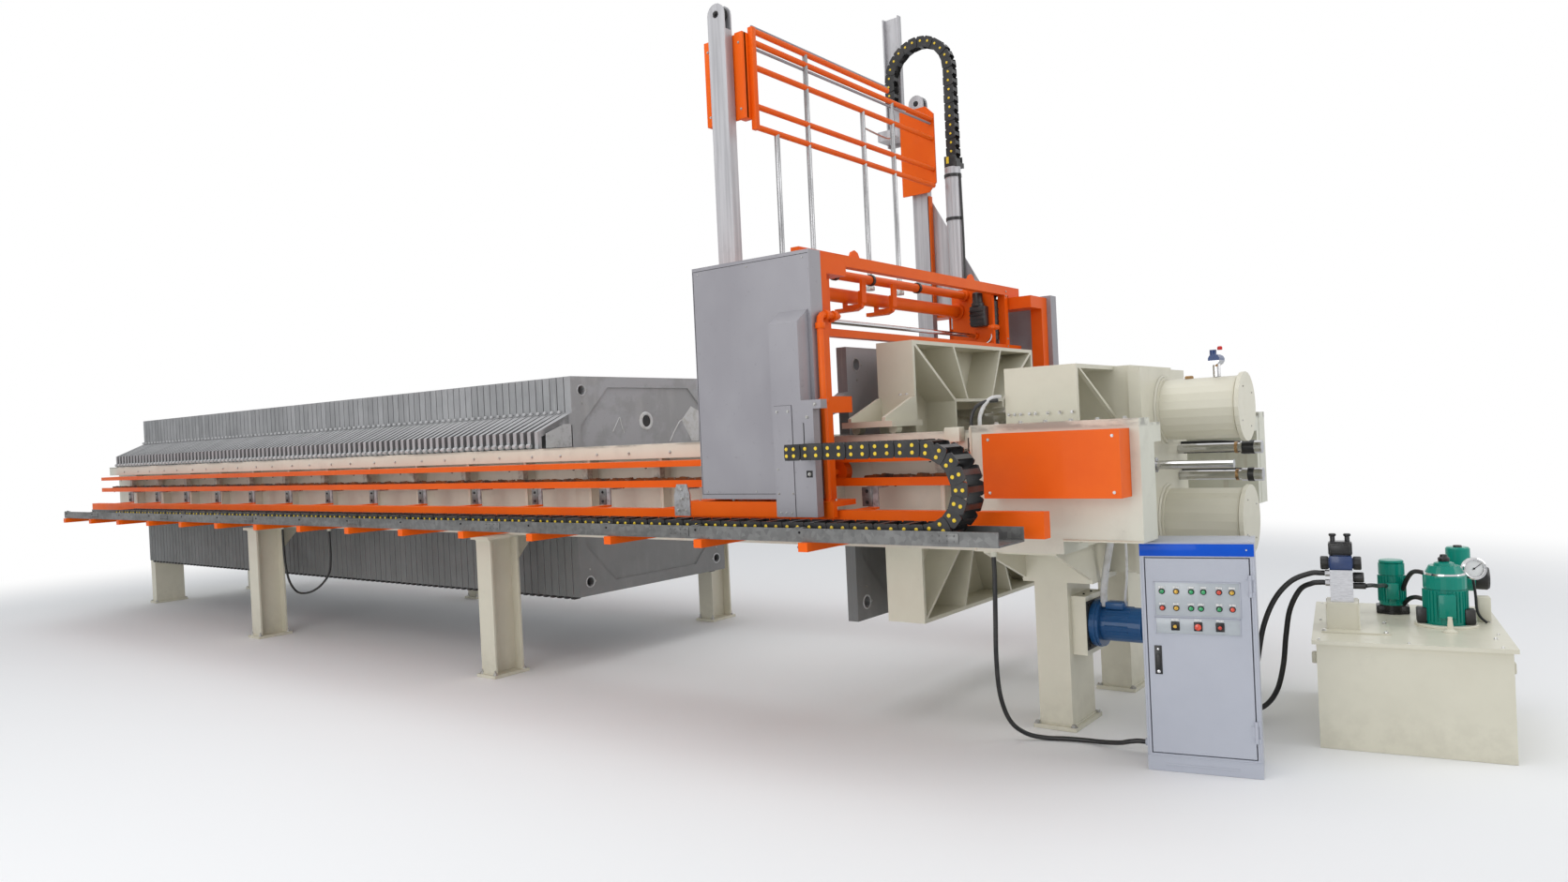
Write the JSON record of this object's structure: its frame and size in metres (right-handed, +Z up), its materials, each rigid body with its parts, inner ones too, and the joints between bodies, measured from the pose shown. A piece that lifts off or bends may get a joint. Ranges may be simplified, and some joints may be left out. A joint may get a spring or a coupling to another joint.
{
  "type": "plate filter press",
  "caption": "Long plate filter press with side beams, a ram-driven head, a cloth washing carriage, an oil power unit and a control cabinet.",
  "frame": {"origin": "on the floor under the middle of the press", "axes": "+X along the press from the fixed head to the cylinders, +Z up, -Y towards the side with the cable tray"},
  "size_m": [12.3226, 3.275, 4.52],
  "materials": {
    "cream_paint": "semi-gloss cream paint on welded steel",
    "orange_paint": "semi-gloss orange paint on steel",
    "plate_grey": "worn grey moulded plate with dust",
    "brushed_steel": "satin sheet steel",
    "chrome": "ground and plated",
    "black_plastic": "moulded black plastic",
    "black_rubber": "smooth black rubber",
    "blue_paint": "gloss dark blue enamel",
    "green_paint": "gloss sea-green enamel",
    "cabinet_grey": "fine textured pale grey powder coat"
  },
  "bodies": {
    "press": {"fixed_head": "cream_paint", "near_side_beam": "cream_paint", "far_side_beam": "cream_paint", "near_rear_leg": "cream_paint", "far_rear_leg": "cream_paint", "near_middle_leg": "cream_paint", "far_middle_leg": "cream_paint", "cylinder_seat": "cream_paint", "upper_cylinder": "cream_paint", "lower_cylinder": "cream_paint", "near_column": "cream_paint", "far_column": "cream_paint", "oil_tank": "cream_paint", "near_guide_rails": "orange_paint", "far_guide_rails": "orange_paint", "cable_carrier_beam": "orange_paint", "near_drive_guard": "orange_paint", "far_drive_guard": "orange_paint", "plate_pack_1": "plate_grey", "plate_pack_2": "plate_grey", "plate_pack_3": "plate_grey", "end_filter_plate": "plate_grey", "loose_filter_plate": "plate_grey", "cable_tray": "brushed_steel", "near_tie_tube": "chrome", "upper_sensor_tube": "chrome", "lower_sensor_tube": "chrome", "tray_energy_chain": "black_plastic", "tray_cable": "black_rubber", "loop_cable": "black_rubber", "upper_hose": "black_rubber", "lower_hose": "black_rubber", "drive_motor": "blue_paint", "valve_block": "blue_paint", "top_valve": "blue_paint", "transfer_motor": "green_paint", "main_motor": "green_paint", "side_motor": "green_paint", "control_cabinet": "cabinet_grey"},
    "follower": {"follower_head": "cream_paint", "upper_piston_rod": "chrome", "lower_piston_rod": "chrome"},
    "carriage": {"near_carriage_frame": "orange_paint", "far_carriage_frame": "orange_paint", "near_carriage_panel": "brushed_steel", "far_carriage_panel": "brushed_steel", "near_mast": "brushed_steel", "far_mast": "brushed_steel", "carriage_gate": "orange_paint", "upper_wash_shaft": "orange_paint", "lower_wash_shaft": "orange_paint", "spray_bar": "chrome", "lift_motor": "black_plastic", "lift_energy_chain": "black_plastic", "water_pipe": "orange_paint"},
    "lift": {"lifting_frame": "orange_paint"},
    "door": {"cabinet_door": "cabinet_grey"}
  },
  "joints": [
    {"name": "follower_slide", "type": "slide", "parent": "press", "child": "follower", "axis": [1, 0, 0], "range_m": [-0.14, 0.4]},
    {"name": "carriage_travel", "type": "slide", "parent": "press", "child": "carriage", "axis": [1, 0, 0], "range_m": [-1.5, 0]},
    {"name": "spray_lift", "type": "slide", "parent": "carriage", "child": "lift", "axis": [0, 0, 1], "range_m": [-1.45, 0]},
    {"name": "cabinet_door", "type": "hinge", "parent": "press", "child": "door", "pos_m": [5.2876, -0.717, 0], "axis": [0, 0, 1], "range_deg": [0, 110]}
  ]
}
